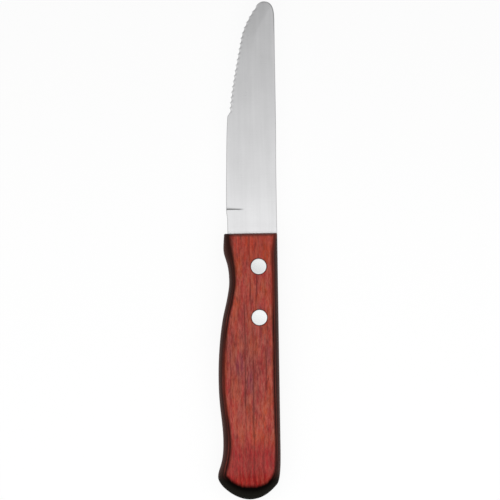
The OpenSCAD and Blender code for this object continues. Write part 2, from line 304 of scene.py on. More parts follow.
# Points, edges and faces count as lying at a place when they are this near to it.
TOLERANCE = 0.002 * MM
MERGE = 0.0005 * MM
# Cutters reach this far past what they cut, in millimetres.
PAST = 1


def new_piece(name, primitive, **options):
    """Adds a primitive with nothing else selected, and applies its place and size."""
    bpy.ops.object.select_all(action="DESELECT")
    primitive(**options)
    bpy.ops.object.transform_apply()
    piece = bpy.context.object
    piece.name = piece.data.name = name
    return piece


def activate(piece):
    """Makes a piece the only selected and the active object."""
    if bpy.context.object and bpy.context.object.mode != "OBJECT":
        bpy.ops.object.mode_set(mode="OBJECT")
    bpy.ops.object.select_all(action="DESELECT")
    piece.select_set(True)
    bpy.context.view_layer.objects.active = piece


def choose(piece, kind, test):
    """Selects the vertices, edges or faces that pass a test, and leaves the piece in edit mode."""
    activate(piece)
    bpy.ops.object.mode_set(mode="EDIT")
    bpy.ops.mesh.select_mode(type=kind)
    bpy.ops.mesh.select_all(action="DESELECT")
    bpy.ops.object.mode_set(mode="OBJECT")
    mesh = piece.data
    for part in {"VERT": mesh.vertices, "EDGE": mesh.edges, "FACE": mesh.polygons}[kind]:
        part.select = test(part)
    bpy.ops.object.mode_set(mode="EDIT")


def ends(piece, edge):
    """The two ends of an edge."""
    return [piece.data.vertices[i].co for i in edge.vertices]


def laid_sheet(name, rows, depths=None):
    """A grid whose points lie on the given rows of places, each row as long as the others.

    Depths, one for each row, are kept on the points as the attribute stain_and_shade_depth.
    """
    across, along = len(rows[0]) - 1, len(rows) - 1
    grid = {"x_subdivisions": across, "y_subdivisions": along, "size": 1}
    sheet = new_piece(name, bpy.ops.mesh.primitive_grid_add, **grid)
    if depths:
        stored = sheet.data.attributes.new("stain_and_shade_depth", "FLOAT", "POINT")
    for vertex in sheet.data.vertices:
        column = round((vertex.co.x + 0.5) * across)
        row = round((vertex.co.y + 0.5) * along)
        vertex.co = rows[row][column]
        if depths:
            stored.data[vertex.index].value = depths[row]
    return sheet


def close_ends(piece, axis, places):
    """Fills the open loops of a tube that lie at these places on an axis."""
    for place in places:
        choose(
            piece,
            "EDGE",
            lambda edge: all(abs(p[axis] - place) < TOLERANCE for p in ends(piece, edge)),
        )
        bpy.ops.mesh.edge_face_add()
        bpy.ops.object.mode_set(mode="OBJECT")


def close_seam(piece):
    """Merges the points that coincide and turns every face outwards."""
    choose(piece, "VERT", lambda v: True)
    bpy.ops.mesh.remove_doubles(threshold=MERGE)
    bpy.ops.mesh.normals_make_consistent(inside=False)
    bpy.ops.object.mode_set(mode="OBJECT")


def cut(piece, cutter):
    """Takes the cutter out of the piece and deletes the cutter."""
    activate(piece)
    modifier = piece.modifiers.new("cut", "BOOLEAN")
    modifier.operation = "DIFFERENCE"
    modifier.solver = "EXACT"
    modifier.object = cutter
    bpy.ops.object.modifier_apply(modifier=modifier.name)
    bpy.data.objects.remove(cutter)


def drill(centre, diameter, bottom, top):
    """A round cutter between two heights, in millimetres."""
    return new_piece(
        "drill",
        bpy.ops.mesh.primitive_cylinder_add,
        vertices=ROUND_SIDES,
        radius=diameter / 2 * MM,
        depth=(top - bottom) * MM,
        location=at(centre.x, centre.y, (bottom + top) / 2),
    )


def finish_piece(piece, node, material, crease=30):
    """Gives a piece its finish and puts it in the place of a node of the frame."""
    piece.data.materials.clear()
    piece.data.materials.append(material)
    activate(piece)
    bpy.ops.object.shade_smooth_by_angle(angle=math.radians(crease))
    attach(piece, "root")
    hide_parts(node)


# ---- Rivet places -------------------------------------------------------------------
def rivet_spot(node):
    """The axis of a rivet, in millimetres from the knife's own corner."""
    low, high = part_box(node)
    middle = (low + high) / 2
    return Vector(((middle.x - SPINE_X) / MM, (middle.y - FRONT_Y) / MM))


RIVETS = [rivet_spot("front_rivet_post"), rivet_spot("rear_rivet_post")]
# The same in millimetres of the frame.
RIVET_PLACES = [at(spot.x, spot.y, 0) / MM for spot in RIVETS]


# ---- Node helpers -------------------------------------------------------------------
class Wire:
    """An output in a node tree. Sums with it add the nodes that work them out."""

    def __init__(self, socket):
        self.socket = socket
        self.tree = socket.id_data

    def __add__(self, other):
        return maths("ADD", self, other)

    def __sub__(self, other):
        return maths("SUBTRACT", self, other)

    def __rsub__(self, other):
        return maths("SUBTRACT", other, self)

    def __mul__(self, other):
        return maths("MULTIPLY", self, other)

    def __truediv__(self, other):
        return maths("DIVIDE", self, other)

    def __abs__(self):
        return maths("ABSOLUTE", self)


def feed(made, inputs):
    """Links or sets inputs of a node."""
    for key, value in inputs.items():
        if isinstance(value, Wire):
            value.tree.links.new(value.socket, made.inputs[key])
        else:
            made.inputs[key].default_value = value


def add_node(kind, inputs, output=0, tree=None, **options):
    """An output of a new node. Its tree is that of its linked inputs, unless one is given."""
    tree = tree or next(value.tree for value in inputs.values() if isinstance(value, Wire))
    made = tree.nodes.new(kind)
    for key, value in options.items():
        setattr(made, key, value)
    feed(made, inputs)
    return Wire(made.outputs[output])


def outputs(wire):
    """All outputs of the node that a wire comes from, by name."""
    return {socket.name: Wire(socket) for socket in wire.socket.node.outputs}


def split(vector):
    """The three parts of a vector."""
    return list(outputs(add_node("ShaderNodeSeparateXYZ", {0: vector})).values())


def maths(operation, *values):
    return add_node("ShaderNodeMath", dict(enumerate(values)), operation=operation)


def most(*values):
    """The greatest of the values."""
    return reduce(lambda first, second: maths("MAXIMUM", first, second), values)


def spread(value, low, high, to_low=0.0, to_high=1.0, kind="SMOOTHSTEP"):
    """Maps a value from one range to another, held within it."""
    inputs = {0: value, 1: low, 2: high, 3: to_low, 4: to_high}
    return add_node("ShaderNodeMapRange", inputs, interpolation_type=kind)


def swing(value, amount, middle=1.0):
    """Turns a noise into a swing about a middle value."""
    return spread(value, 0.3, 0.7, middle - amount, middle + amount, "LINEAR")


def between(amount, first, second):
    """Goes from the first value to the second as the amount goes from 0 to 1."""
    return add_node("ShaderNodeMix", {0: amount, 2: first, 3: second})


def layered(shade, *layers):
    """A colour with others laid over it in turn, each given after how much of it shows."""
    for amount, layer in layers:
        under, over = (c if isinstance(c, Wire) else (*c, 1.0) for c in (shade, layer))
        inputs = {0: amount, 6: under, 7: over}
        shade = add_node("ShaderNodeMix", inputs, output=2, data_type="RGBA")
    return shade


def scaled(vector, factor):
    """A vector or a colour times one factor."""
    return add_node("ShaderNodeVectorMath", {0: vector, "Scale": factor}, operation="SCALE")


def noise(vector, stretch, detail=2.0, roughness=0.5):
    """Smooth noise over a vector, which is stretched first."""
    stretched = add_node("ShaderNodeVectorMath", {0: vector, 1: stretch}, operation="MULTIPLY")
    inputs = {"Vector": stretched, "Scale": 1.0, "Detail": detail, "Roughness": roughness}
    return add_node("ShaderNodeTexNoise", inputs)


def oval(x, y, centre_x, centre_y, half_x, half_y):
    """The square of the distance from an oval's centre, counted as 1 on its rim."""
    dx, dy = (x - centre_x) / half_x, (y - centre_y) / half_y
    return dx * dx + dy * dy


def position(tree):
    """The place on the object, in millimetres of the frame."""
    return scaled(add_node("ShaderNodeTexCoord", {}, "Object", tree), 1 / MM)


def bump(height, strength, distance):
    """A normal from a height; the distance is in millimetres."""
    inputs = {"Height": height, "Strength": strength, "Distance": distance * MM}
    return add_node("ShaderNodeBump", inputs)


def surface(name):
    """A material, its tree and its one Principled shader."""
    material = bpy.data.materials.new(name)
    material.use_nodes = True
    tree = material.node_tree
    return material, tree, tree.nodes["Principled BSDF"]


def new_group(name, inputs, results):
    """A node group, its inputs as wires, and the node that takes its results. Its sockets
    are given by name and kind."""
    tree = bpy.data.node_groups.new(name, "ShaderNodeTree")
    kinds = {"vector": "NodeSocketVector", "value": "NodeSocketFloat"}
    for sockets, in_out in ((inputs, "INPUT"), (results, "OUTPUT")):
        for label, kind in sockets.items():
            tree.interface.new_socket(name=label, in_out=in_out, socket_type=kinds[kind])
    given = outputs(add_node("NodeGroupInput", {}, tree=tree))
    return tree, given, tree.nodes.new("NodeGroupOutput")


def use_group(group, inputs):
    """The outputs of a group placed in the tree of its linked inputs."""
    return outputs(add_node("ShaderNodeGroup", inputs, node_tree=group))


# ---- Effects ------------------------------------------------------------------------
STREAK_INPUTS = ("Across", "Rear", "Front", "Width", "Wander")
STREAK_FADE = (-6.0, 6.0)


def streak_group():
    """One long dark streak in the grain, between two places along the handle."""
    inputs = {"Place": "vector", **dict.fromkeys(STREAK_INPUTS, "value")}
    tree, given, result = new_group("grain_streak", inputs, {"Mask": "value"})
    place = given["Place"]
    x, y, _ = split(place)
    drift = noise(place, (0.01, 0.045, 0.05)) - 0.5
    near = abs(x + drift * given["Wander"] - given["Across"]) / given["Width"]
    from_rear = spread(y - given["Rear"], *STREAK_FADE)
    from_front = spread(given["Front"] - y, *STREAK_FADE)
    broken = spread(noise(place, (1.2, 0.16, 0.6), 3.0), 0.3, 0.55, 0.5, 1.0)
    feed(result, {"Mask": spread(near, 1.0, 0.0) * from_rear * from_front * broken})
    return tree


def brushed_group():
    """Fine marks of grinding and polishing, as a tone and a height."""
    tree, given, result = new_group(
        "brushed_marks",
        {"Place": "vector", "Stretch": "vector"},
        {"Tone": "value", "Height": "value"},
    )
    fine = noise(given["Place"], given["Stretch"], 4.0, 0.65)
    cloud = noise(given["Place"], (0.09, 0.07, 0.09), 3.0)
    feed(result, {"Tone": between(0.5, cloud, fine), "Height": fine})
    return tree


def brushed_marks(place, stretch):
    """The marks over a place; their group is built once."""
    group = bpy.data.node_groups.get("brushed_marks") or brushed_group()
    return use_group(group, {"Place": place, "Stretch": stretch})


# ---- Metal finishes -----------------------------------------------------------------
# Where the painted light and shade and the dulling of the blade change, in millimetres:
# past the plunge line, in from the spine past the grind's inner limit, ahead of the handle
# and behind the tip.
PLUNGE_MIDDLE = 0.3
PAINTED_PLUNGE_SHADE = (0.45, 0.1)
PLUNGE_RUN = (-0.6, 3.0)
PAINTED_FLAT_LIGHT = (-7.0, 16.0)
PAINTED_HANDLE_LIGHT = (4.0, 0.0)
DULL_AND_SHADED_TIP = (17.0, 4.0)
# Where each head's painted highlight changes along its slant, from its middle.
PAINTED_HIGHLIGHT_SLANT = (-4.2, 3.6)


def satin_steel(settings):
    """Ground stainless steel: marks across the blade, clouded by the polish."""
    material, tree, shader = surface("satin_steel")
    place = position(tree)
    across = brushed_marks(place, (0.12, 5.0, 5.0))
    along = brushed_marks(place, (6.0, 0.10, 5.0))
    tone = between(0.35, across["Tone"], along["Tone"])
    bands = noise(place, (0.45, 0.016, 0.3), 2.0, 0.6)
    dim = spread(tone, 0.35, 0.65, 0.95, 1.035, "LINEAR")
    dim *= spread(bands, 0.35, 0.65, 0.975, 1.02, "LINEAR")
    # Painted light over the flat and painted shade in the plunge line's corner.
    dim *= painted_plunge_light(place, settings)
    # Darker bevels: partly unpolished steel and partly painted shade.
    dim *= bevel_dulling_and_shade(place)
    finish = {
        "Metallic": 1.0,
        "Base Color": scaled(settings.steel, dim),
        "Roughness": swing(tone, 0.04, settings.roughness),
        "Normal": bump(across["Height"], 0.25, 0.01),
    }
    feed(shader, finish)
    return material


def painted_plunge_light(place, settings):
    """Painted light and shade: a painted highlight over the flat, strongest beside the handle, and
    a painted shadow in the plunge line's corner.
    """
    x, y, _ = split(place)
    inward = SPINE_X / MM - x
    ahead = y - FRONT_Y / MM
    past = ahead - settings.flat_len / MM
    unground = (settings.heel_w + settings.heel_step - settings.grind_w) / MM
    start, end = (unground + run for run in PLUNGE_RUN)
    # A painted shadow in the plunge line's corner.
    corner = spread(abs(past - PLUNGE_MIDDLE), *PAINTED_PLUNGE_SHADE) * spread(inward, start, end)
    painted_flat_light = spread(past, *PAINTED_FLAT_LIGHT, 1.045, 1.0)
    painted_handle_light = spread(ahead, *PAINTED_HANDLE_LIGHT, 0.0, 0.09)
    return painted_flat_light + painted_handle_light - corner * 0.6


def bevel_dulling_and_shade(place):
    """Darker on the narrow bevels, partly as they are ground but not polished and partly as
    painted shade; most at the tip, where the darker rim is painted shade.
    """
    normal = add_node("ShaderNodeTexCoord", {}, "Normal", place.tree)
    facing = abs(split(normal)[2])
    from_tip = BLADE_HIGH.y / MM - split(place)[1]
    dull_and_shade = spread(from_tip, *DULL_AND_SHADED_TIP, 0.66, 0.46)
    return spread(facing, 0.85, 0.93, dull_and_shade, 1.0)


def polished_head(settings):
    """Turned and polished rivet metal: faint rings about each rivet's axis."""
    material, tree, shader = surface("polished_head")
    place = position(tree)
    radius = add_node("ShaderNodeCombineXYZ", {0: rivet_distance(place)})
    rings = noise(radius, (7.0, 7.0, 7.0), 3.0)
    tone = between(0.55, rings, brushed_marks(place, (1.2, 4.0, 1.0))["Tone"])
    # The heads' painted highlight and shade.
    dim = spread(tone, 0.35, 0.65, 0.985, 1.015, "LINEAR") * painted_head_highlight(place)
    finish = {
        "Metallic": 1.0,
        "Base Color": scaled(settings.metal, dim),
        "Roughness": swing(tone, 0.06, settings.roughness + 0.01),
        "Normal": bump(rings, 0.08, 0.01),
    }
    feed(shader, finish)
    return material


def painted_head_highlight(place):
    """A painted highlight and shade on each head: brighter along one side, a little darker towards
    the butt and the edge.
    """
    x, y, _ = split(place)
    front, rear = RIVET_PLACES
    on_front = maths("GREATER_THAN", y, (front.y + rear.y) / 2)
    slant = y - between(on_front, rear.y, front.y) + (x - front.x) * 0.5
    # How far along its slant a head has its painted highlight.
    polish = spread(slant, *PAINTED_HIGHLIGHT_SLANT, 0.0, 1.0, "LINEAR")
    return between(polish, between(on_front, 0.9, 0.82), 1.09)


def rivet_distance(place):
    """Distance from the nearer rivet's axis, in millimetres, as both share one x."""
    x, y, _ = split(place)
    front, rear = RIVET_PLACES
    folded = abs(y - (front.y + rear.y) / 2)
    return maths("SQRT", oval(x, folded, front.x, (front.y - rear.y) / 2, 1.0, 1.0))


# ---- Wood finish --------------------------------------------------------------------
# Noises over the bent grain, as (stretch, detail, roughness).
GRAIN = {
    "fibre": ((0.95, 0.07, 0.8), 4.0, 0.68),
    "thread": ((2.4, 0.5, 2.0), 3.0, 0.6),
    "fleck": ((1.0, 0.2, 0.9), 4.0, 0.72),
    "pores": ((1.9, 0.22, 1.7), 2.0, 0.5),
    "hair": ((9.0, 0.7, 8.0), 4.0, 0.7),
    "pits": ((6.0, 0.55, 5.0), 2.0, 0.6),
    "mottle": ((0.24, 0.07, 0.18), 3.0, 0.55),
    "figure": ((0.17, 0.04, 0.14), 2.0, 0.5),
    "gaps": ((0.8, 0.09, 0.7), 3.0, 0.5),
    "ragged": ((0.9, 0.12, 0.9), 3.0, 0.6),
}

# Long streaks in the wood, as (x, rear y, front y, width, wander, strength), in
# millimetres of the frame.
STREAKS = (
    (1.5, -4.0, 9.0, 0.6, 0.5, 0.9),
    (1.75, -27.0, -14.0, 0.52, 0.8, 0.8),
    (5.0, -26.0, -12.0, 0.55, 0.8, 0.8),
    (-1.35, -78.0, -26.0, 0.6, 1.2, 0.75),
    (-1.3, -92.0, -72.0, 0.55, 1.0, 0.6),
    (-8.7, -78.0, -48.0, 0.6, 1.0, 0.75),
    (2.75, -82.0, -47.0, 0.6, 0.9, 0.85),
    (2.5, -116.0, -78.0, 0.7, 0.8, 0.6),
    (9.2, -72.0, -48.0, 0.6, 0.8, 0.8),
    (-10.4, -60.0, -36.0, 0.45, 1.0, 0.5),
    (7.4, -112.0, -84.0, 0.45, 1.2, 0.5),
)

# Patches of darker figure, as (x, y, half width, half length, strength), in millimetres of
# the frame, and smaller patches of purplish wood.
HEART_PATCHES = (
    (0.0, -61.0, 3.2, 14.0, 0.9),
    (-5.3, -60.0, 1.8, 12.0, 0.7),
    (6.0, -43.7, 3.2, 8.0, 0.6),
    (-3.0, -33.0, 4.0, 7.0, 0.4),
    (-2.0, -107.0, 5.0, 9.0, 0.3),
    (0.0, -58.0, 13.0, 36.0, 0.6),
)
PLUM_PATCHES = (
    (-4.2, -56.5, 3.2, 8.0, 0.75),
    (1.2, -66.0, 2.4, 8.0, 0.85),
    (10.6, -53.0, 2.2, 7.0, 0.6),
    (-9.4, -49.0, 2.0, 8.0, 0.5),
    (6.5, -31.0, 2.6, 6.0, 0.45),
)

# Where the wood, its stain and its painted shade change, in millimetres behind the handle's front
# end.
WARM_FRONT = (18, 8)
NARROW_FRONT = (11, 1)
END_LINE = (2.0, 1.0)
RED_FRONT = (3.2, 2.2)
RED_SPINE = (46, 30)
RED_BELLY = 74
NO_WORN_HIGHLIGHT_GUARD = (20, 10)
# The same ahead of the butt.
RED_REAR = (35, 22)
BUTT_STAIN_AND_SHADE = (16, 9)
# The same in from the spine.
FRONT_INSIDE = (24.5, 22.0)
BY_SPINE = (SPINE_STEP + 5, SPINE_STEP + 3.5)
BY_BELLY = (16.5, 18.5)
BY_GUARD = (17, 21)
# The same away from the belly's middle, and from a rivet's head for the dark ring round it,
# partly darker wood and partly painted shade in the gap.
RED_BELLY_HALF = (24, 12)
RING_STAIN_AND_SHADE = (0.7, 0.15)
# A darker spot beside the guard: its middle in from the spine and behind the front end,
# and its half width and half length.
GUARD_SPOT = (24.2, 6.0, 2.3, 9.0)


class Wood:
    """The places in the wood and the grain, which its layers share."""

    def __init__(self, tree):
        self.place = position(tree)
        self.x, self.y, z = split(self.place)
        self.inward = SPINE_X / MM - self.x
        self.behind = FRONT_Y / MM - self.y
        self.ahead = HANDLE_LEN - self.behind
        # The butt: near black, partly end-grain stain and partly painted shade of its rounding.
        self.butt = spread(self.ahead, *BUTT_STAIN_AND_SHADE)
        drift = noise(self.place, (0.06, 0.022, 0.09)) - 0.5
        bent = add_node("ShaderNodeCombineXYZ", {0: self.x + drift * 3.0, 1: self.y, 2: z})
        self.grain = {name: noise(bent, *values) for name, values in GRAIN.items()}
        self.pores = spread(self.grain["pores"], 0.56, 0.68)
        self.pits = spread(self.grain["pits"], 0.6, 0.68)

    def patches(self, table):
        """Soft oval patches."""
        return most(
            *(
                spread(oval(self.x, self.y, *spot), 1.0, 0.0, 0.0, strength)
                for *spot, strength in table
            )
        )


def handle_wood(settings):
    """Close-grained red-brown wood, dark over the rounded sides and the butt, partly stained and
    partly painted shade where they turn away from the light.
    """
    material, tree, shader = surface("handle_wood")
    wood = Wood(tree)
    inset = stain_and_shade_inset(wood)
    # The stain mask also carries the painted shade of the rounded sides.
    stain = spread(inset, 1.32, 0.84)
    # A dark line along the front end: stain and painted shade of its rounded edge.
    end_line = spread(wood.behind, *END_LINE, 0.0, 0.8)
    from_head = rivet_distance(wood.place) - HEAD_D / 2
    shade = layered(
        face_wood(wood, settings),
        (guard_darkening(wood), settings.side_deep_stain_and_shade),
        (most(stain, end_line), stained_and_shaded_sides(wood, settings, inset)),
        # A dark ring round each head: partly darker wood and partly painted shade in the gap.
        (spread(from_head, *RING_STAIN_AND_SHADE, 0.0, 0.5), settings.side_deep_stain_and_shade),
    )
    height = wood.grain["hair"] * 0.8 - most(wood.pores, wood.pits)
    finish = {
        "Base Color": shade,
        "Roughness": between(stain, swing(wood.grain["fibre"], 0.06, 0.4), 0.5),
        "Specular IOR Level": between(wood.butt, between(stain, 0.2, 0.06), 0.01),
        "Normal": bump(height * between(stain, 1.0, 0.25), 0.35, 0.03),
    }
    feed(shader, finish)
    return material


def face_wood(wood, settings):
    """The bare wood of the flat face: its figure, grain, flecks, pores and streaks."""
    grain = wood.grain
    broken = spread(grain["gaps"], 0.35, 0.6, 0.35, 1.0)
    figure = spread(grain["figure"], 0.52, 0.72, 0.0, 0.7)
    warm = spread(wood.behind, *WARM_FRONT, 0.0, 0.5)
    red = spread(wood.ahead, *RED_REAR, 0.0, 0.8)
    shade = layered(
        settings.face_red,
        (spread(grain["mottle"], 0.38, 0.66), settings.face_brown),
        (most(figure, wood.patches(HEART_PATCHES)) * broken, settings.heart),
        (wood.patches(PLUM_PATCHES) * broken, settings.plum),
        (warm, settings.face_front),
        (red, settings.red_end),
    )
    tone = swing(grain["fibre"], 0.32) * swing(grain["thread"], 0.2) * swing(grain["hair"], 0.22)
    fewer = 1.0 - most(red, warm) * 0.6
    layers = [
        (spread(grain["fleck"], 0.4, 0.68, 0.0, 0.5, "LINEAR") * fewer, settings.fleck),
        (most(wood.pores * 0.5, wood.pits * 0.6), settings.streak),
    ]
    group = streak_group()
    for *values, strength in STREAKS:
        streak = use_group(group, {"Place": wood.place, **dict(zip(STREAK_INPUTS, values))})
        layers.append((streak["Mask"] * strength, settings.streak))
    return layered(scaled(shade, tone), *layers)


def stain_and_shade_inset(wood):
    """How far in a place counts for the stain and its painted shade: 0 on the rim, 1 where the
    flat face begins.

    The stain and shade stop sooner at the front end and reach a little further in at the butt.
    """
    tree = wood.place.tree
    depth = add_node("ShaderNodeAttribute", {}, "Fac", tree, attribute_name="stain_and_shade_depth")
    inset = spread(depth, 0.0, 1.0, INNER_INSETS[-1], 0.0, "LINEAR")
    inset += swing(wood.grain["ragged"], 0.04, 0.0)
    return inset + spread(wood.behind, *NARROW_FRONT, 0.0, 0.36) - wood.butt * 0.08


def stained_and_shaded_sides(wood, settings, inset):
    """The stained sides with painted shade: darkest where the rounding begins, redder where the
    stain is thin, lighter in places from wear and a painted highlight, and black over the end
    grain of the butt."""
    by_guard = spread(wood.behind, *NO_WORN_HIGHLIGHT_GUARD) * spread(wood.inward, *BY_GUARD)
    clouds = spread(noise(wood.place, (0.05, 0.04, 0.05)), 0.4, 0.58, 0.25, 0.8)
    # Darkest where the rounding begins: stain and painted shade.
    dark = layered(
        settings.side_deep_stain_and_shade,
        (spread(inset, 0.75, 0.05), settings.side),
        (thin_stain(wood, inset), settings.side_red),
        # Lighter stripe along the rounding: partly wear and partly a painted highlight.
        (spread(abs(inset - 0.68), 0.14, 0.0) * clouds * (1.0 - by_guard), settings.side_worn_and_highlight),
    )
    grained = swing(wood.grain["fibre"], 0.25) * swing(wood.grain["hair"], 0.15)
    # Near black over the butt: end-grain stain and painted shade.
    end_grain_and_shade = layered(settings.butt, (spread(inset, 0.8, 0.25), settings.butt_rim_stain_and_shade))
    return layered(scaled(dark, grained), (wood.butt, end_grain_and_shade))


def thin_stain(wood, inset):
    """Where the stain is thin and red: at the front end, along the spine ahead and at the
    belly."""
    front = spread(wood.behind, *RED_FRONT) * spread(wood.inward, *FRONT_INSIDE)
    spine = spread(wood.behind, *RED_SPINE) * spread(wood.inward, *BY_SPINE)
    from_middle = abs(wood.behind - RED_BELLY)
    belly = spread(from_middle, *RED_BELLY_HALF) * spread(wood.inward, *BY_BELLY)
    return most(
        front * 0.8,
        spine * spread(inset, 0.4, 0.85, 0.0, 0.9),
        belly * spread(inset, 0.4, 1.0, 0.0, 0.7),
    )


def guard_darkening(wood):
    """A soft darker patch on the flat face beside the guard."""
    return spread(oval(wood.inward, wood.behind, *GUARD_SPOT), 1.0, 0.1, 0.0, 0.6)


# ---- Blade --------------------------------------------------------------------------
# Places across the hollow grind and across the face, as shares of their widths.
GRIND_SHARES = (
    0.02, 0.05, 0.09, 0.14, 0.2, 0.3, 0.42, 0.55, 0.66, 0.74, 0.8, 0.85, 0.9, 0.94, 0.97, 1.0
)
FACE_SHARES = (0.04, 0.12, 0.35, 0.65, 0.9, 1.0)
# How many cuts across lie along each stretch.
CORNER_ROWS = 12
TANG_ROWS = 16
FLAT_ROWS = 4
HEEL_ROWS = 10
PLUNGE_ROWS = 24
PLAIN_ROWS = 40
RAMP_ROWS = 5
ROWS_PER_TOOTH = 12
TIP_ROWS = 30
# The tang ends and the flat starts just past the handle's front end.
TANG_END = 0.03
FLAT_START = 0.04
# The curves are read no nearer to the tip than this, as they run square to it there.
READ_TO = BLADE_LEN - 0.03
# The length over which the spine's slant is measured.
LEAN_RUN = 0.02
# How softly the grind runs out at its inner limit.
GRIND_EASE = 0.14
# How far a bevel falls for its width, and how far behind the tip the bevel along the spine
# starts to widen and over what length.
BEVEL_SLOPE = 0.65
TIP_BEVEL_FROM = 20
TIP_BEVEL_RUN = 8
# The teeth stand out less and less over this length before the tip.
TEETH_OUT_RUN = 1.2
# The most of the blade's width that the grind and the bevels take up, and the most of its
# half thickness that a bevel takes off.
GRIND_MOST = 0.93
EDGE_BEVEL_MOST = 0.08
SPINE_BEVEL_MOST = 0.45
BEVEL_CUT_MOST = 0.6
# Where the grind's limit runs on through the tang, as a share of its width.
TANG_LIMIT = 0.4
# Half the thickness on a tooth's point at the near face.
POINT_T = 0.12


def steps(start, end, count):
    """Evenly spaced places after the start, up to the end."""
    return [mix(start, end, i / count) for i in range(1, count + 1)]


class BladeShape:
    """The blade's curves, its cuts across and the thickness at each place, in millimetres."""

    def __init__(self, s):
        self.s = s
        self.edge_w = s.heel_w + s.heel_step
        self.teeth_to = BLADE_LEN - s.teeth_back
        self.teeth_from = self.teeth_to - s.teeth_len
        self.teeth = round(s.teeth_len / s.tooth_pitch)
        self.pitch = s.teeth_len / self.teeth
        self.plain_to = self.teeth_from - s.teeth_ramp
        heel = (-self.edge_w, s.flat_len, 90, 90, 0, 15)
        tip_side = [
            (-s.shoulder_w, BLADE_LEN - s.shoulder_back, 80, 80, 10, 5),
            (-s.tip_w - 3.6, BLADE_LEN - 2.6, 50, 50, 5.6, 1),
            (-s.tip_w, BLADE_LEN, 0, 0, 2, 0),
        ]
        self.ground = Line([heel, (-s.plain_w, self.plain_to, 86, 86, 15, 13), *tip_side])
        self.edge = Line(
            [
                heel,
                (-s.plain_w, self.plain_to, 86, 0, 15, 0),
                (-s.plain_w + s.teeth_set, self.teeth_from, 0, 86, 0, 13),
                *tip_side,
            ]
        )
        face_y = BLADE_LEN - 7
        self.grind = Line(
            [
                (-self.edge_w + s.grind_w, s.flat_len, 90, 90, 0, 15),
                (-s.face_w, BLADE_LEN - s.face_back, 77, 77, 15.5, 15.5),
                (-4, face_y, 56, 56, 16, 0),
                (4, face_y + 8 * math.tan(math.radians(56)), 56, 56, 0, 0),
            ]
        )
        self.spine = Line(
            [
                (0, s.flat_len, 90, 90, 0, 0),
                (0, BLADE_LEN - s.tip_round, 90, 90, 0, 0.52 * s.tip_round),
                (-s.tip_w, BLADE_LEN, 180, 180, 0.92 * s.tip_w, 0),
            ]
        )

    def hollow(self, y):
        """Share of a tooth's hollow reached at y: 0 on a point, 1 midway."""
        if not self.teeth_from < y < self.teeth_to:
            return 0.0
        part = (y - self.teeth_from) / self.pitch % 1
        return 4 * part * (1 - part)

    def toothed(self, y, run_out):
        """How much of the teeth's setting has been reached at y; it runs out at the tip."""
        return clamp((y - self.plain_to) / self.s.teeth_ramp) * clamp((BLADE_LEN - y) / run_out)

    def rows(self):
        """Cuts across the steel, from the end of the tang to the tip."""
        s = self.s
        step = s.flat_len - s.heel_step
        sunk = s.flat_len + s.plunge
        turns = [math.radians(90 * i / CORNER_ROWS) for i in range(CORNER_ROWS + 1)]
        return [
            *(-TANG_LEN + s.tang_r * (1 - math.cos(turn)) for turn in turns),
            *steps(-TANG_LEN + s.tang_r, TANG_END, TANG_ROWS),
            FLAT_START,
            *steps(FLAT_START, step - s.heel_ramp, FLAT_ROWS),
            *steps(step - s.heel_ramp, step, HEEL_ROWS),
            s.flat_len,
            *(s.flat_len + s.plunge * part**1.5 for part in steps(0, 1, PLUNGE_ROWS)),
            *steps(sunk, self.plain_to, PLAIN_ROWS),
            *steps(self.plain_to, self.teeth_from, RAMP_ROWS),
            *steps(self.teeth_from, self.teeth_to, self.teeth * ROWS_PER_TOOTH),
            *(
                mix(self.teeth_to, BLADE_LEN, math.sin(turn))
                for turn in steps(0, math.pi / 2, TIP_ROWS)
            ),
        ]

    def sides(self, y):
        """The x of the edge, of the grind's inner limit and of the spine at y."""
        s = self.s
        if y < FLAT_START:
            corner = clamp(1 - (y + TANG_LEN) / s.tang_r)
            edge = -SPINE_STEP - s.tang_w + s.tang_r * (1 - math.sqrt(1 - corner * corner))
            return edge, mix(edge, -SPINE_STEP, TANG_LIMIT), -SPINE_STEP
        if y < s.flat_len:
            rise = (y - (s.flat_len - s.heel_step - s.heel_ramp)) / s.heel_ramp
            edge = -mix(s.heel_w, self.edge_w, smooth(rise)) + s.edge_trim
            return edge, -self.edge_w + s.grind_w, -s.spine_trim
        place = min(y, READ_TO)
        trim = 1 - smooth((y - s.trim_from) / s.trim_run)
        edge = self.edge.x(place) + s.edge_trim * trim + s.tooth_depth * self.hollow(place)
        edge -= s.teeth_out * self.toothed(y, TEETH_OUT_RUN)
        spine = self.spine.x(place) - s.spine_trim * trim
        return edge, min(self.grind.x(place), mix(edge, spine, GRIND_MOST)), spine

    def half(self, x, y):
        """Half the thickness of the steel at x and y, before the edge is sharpened."""
        s = self.s
        past = y - s.flat_len
        if past <= 0:
            return BLADE_T / 2
        place = min(y, READ_TO)
        start = min(self.ground.x(place), self.edge.x(place))
        left = 1 - clamp((x - start) / (self.grind.x(place) - start))
        eased = math.hypot(left, GRIND_EASE) - GRIND_EASE
        share_cut = eased / (math.hypot(1, GRIND_EASE) - GRIND_EASE)
        depth = (BLADE_T - s.edge_t) / 2 * share_cut
        # The wheel's corner cuts equally steeply however deep the hollow is.
        reach = s.plunge * share_cut**0.5
        sunk = clamp(past / max(reach, 0.01))
        return BLADE_T / 2 - depth * (1 - (1 - sunk) ** 4)

    def lean(self, y):
        """How many times its own width a band along the spine takes up across the blade."""
        place = min(y, READ_TO)
        return math.hypot(1, (self.spine.x(place) - self.spine.x(place - LEAN_RUN)) / LEAN_RUN)

